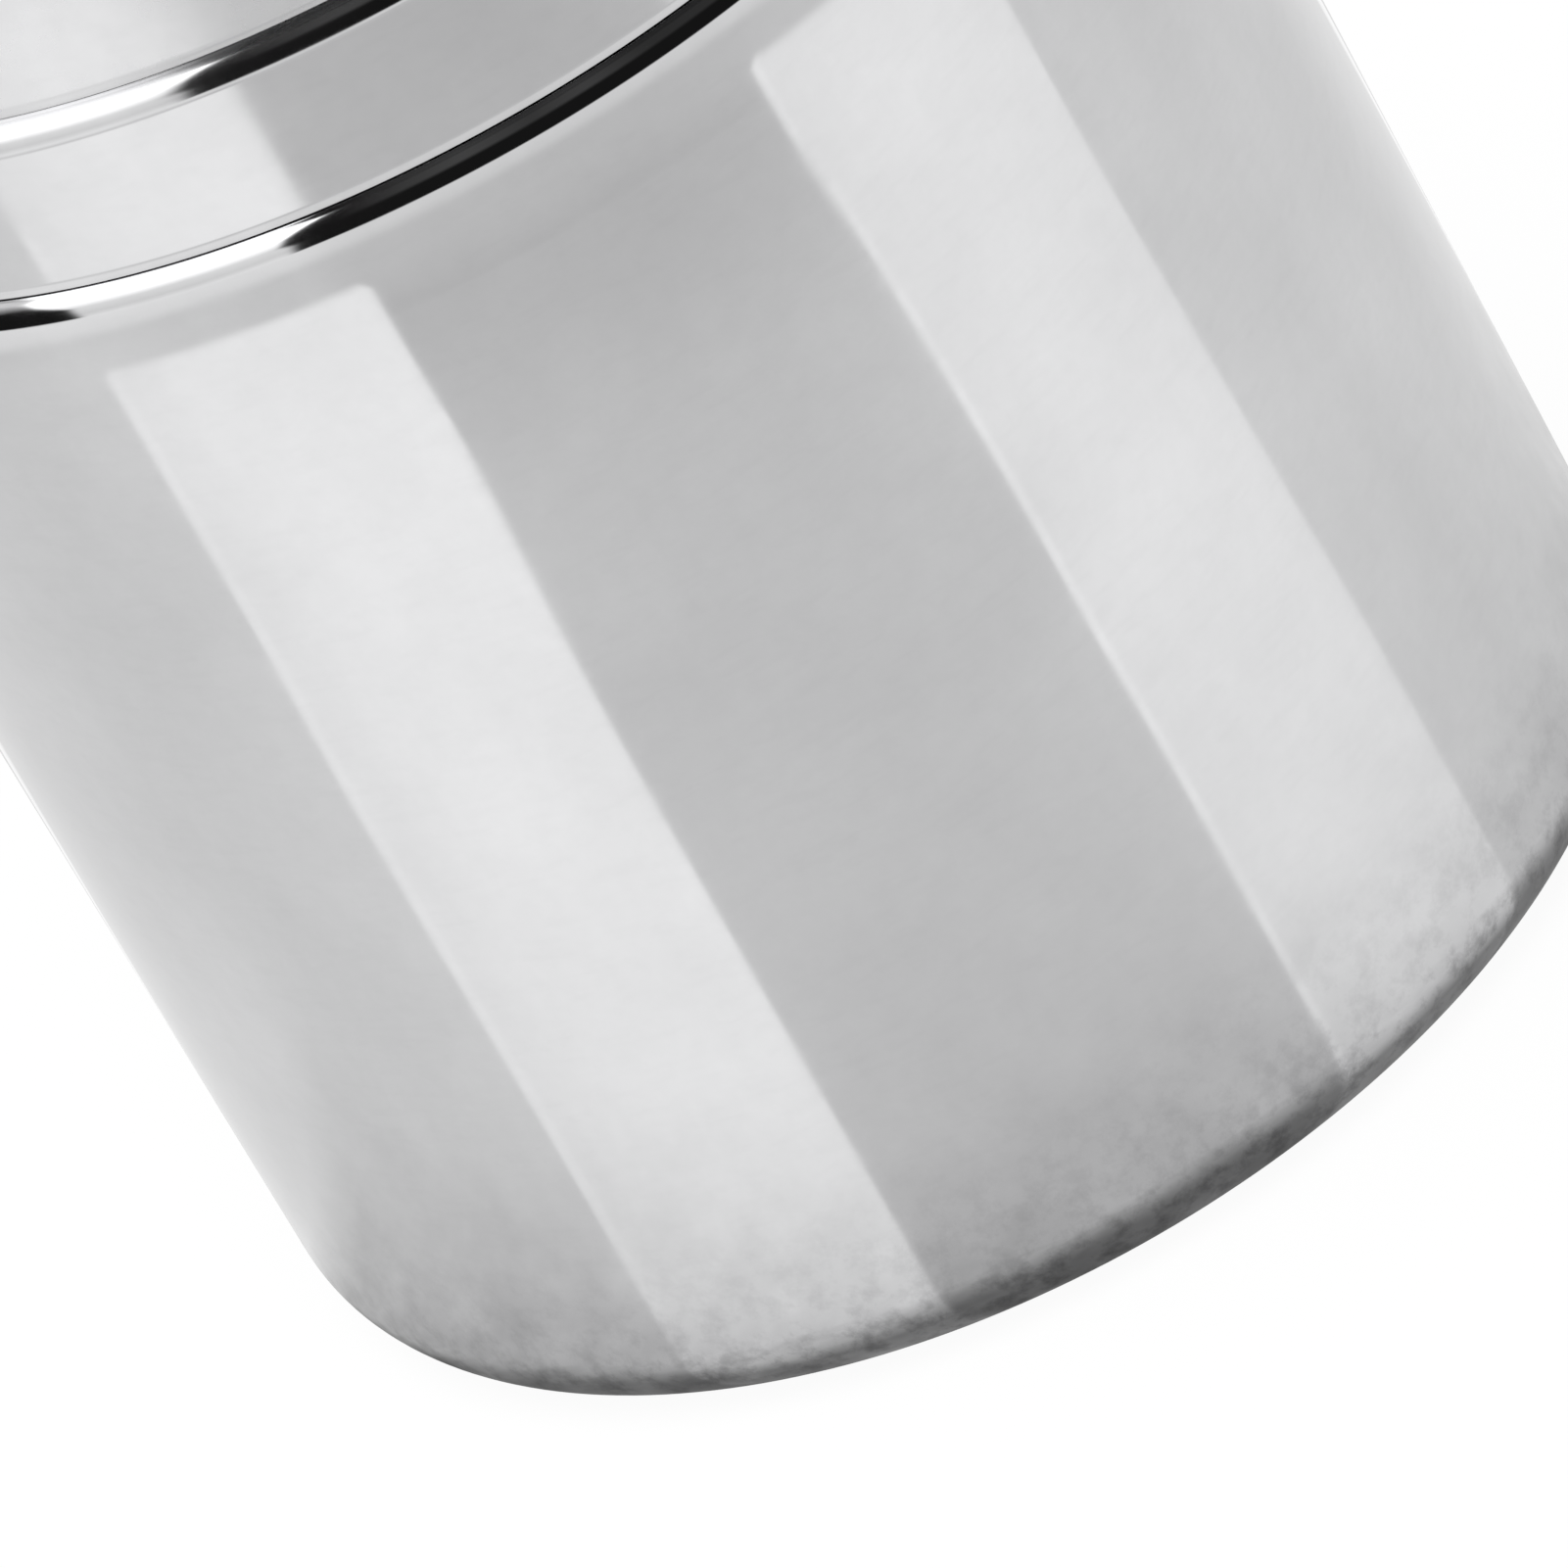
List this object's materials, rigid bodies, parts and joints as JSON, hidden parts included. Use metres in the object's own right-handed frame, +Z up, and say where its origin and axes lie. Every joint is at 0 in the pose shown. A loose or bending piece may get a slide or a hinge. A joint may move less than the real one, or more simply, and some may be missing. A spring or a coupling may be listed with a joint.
{
  "type": "sugar shaker",
  "caption": "Cylindrical stainless steel sugar shaker in three stepped tiers: drawn cup, screw collar with a perforated plate, and a domed lid hinged at the back with a thumb tab.",
  "frame": {"origin": "middle of the cup's flat base, on the surface that it stands on", "axes": "+Z up along the cup's axis, -Y towards the lid's thumb tab, +Y towards the hinge"},
  "size_m": [0.07, 0.0803, 0.0957],
  "materials": {
    "cup_steel": "polished stainless steel, drawn, faint mottled grain",
    "collar_steel": "polished stainless steel",
    "lid_steel": "polished stainless steel",
    "plate_steel": "satin stainless steel, punched holes",
    "hinge_steel": "stainless steel, tumbled",
    "insert_plastic": "moulded polypropylene, natural white",
    "seal_silicone": "food-grade silicone, matt"
  },
  "bodies": {
    "cup": {"body_cup": "cup_steel"},
    "seal": {"seal_ring": "seal_silicone"},
    "collar": {"collar_ring": "collar_steel", "thread_insert": "insert_plastic", "shaker_plate": "plate_steel", "hinge_bracket": "hinge_steel", "bracket_rivets": "hinge_steel", "hinge_pin": "hinge_steel"},
    "lid": {"lid_shell": "lid_steel", "hinge_leaf": "hinge_steel", "leaf_rivets": "hinge_steel", "thumb_tab": "lid_steel"}
  },
  "joints": [
    {"name": "collar_lift", "type": "slide", "parent": "cup", "child": "seal", "axis": [0, 0, 1], "range_m": [0, 0.0125]},
    {"name": "collar_turn", "type": "hinge", "parent": "seal", "child": "collar", "pos_m": [0, 0, 0], "axis": [0, 0, 1], "range_deg": [0, 360]},
    {"name": "lid_hinge", "type": "hinge", "parent": "collar", "child": "lid", "pos_m": [0, 0.03663, 0.07395], "axis": [-1, 0, 0], "range_deg": [0, 110]}
  ],
  "couplings": [
    {"joint": "collar_lift", "follows": "collar_turn", "m_per_rad": 0.0019099}
  ]
}
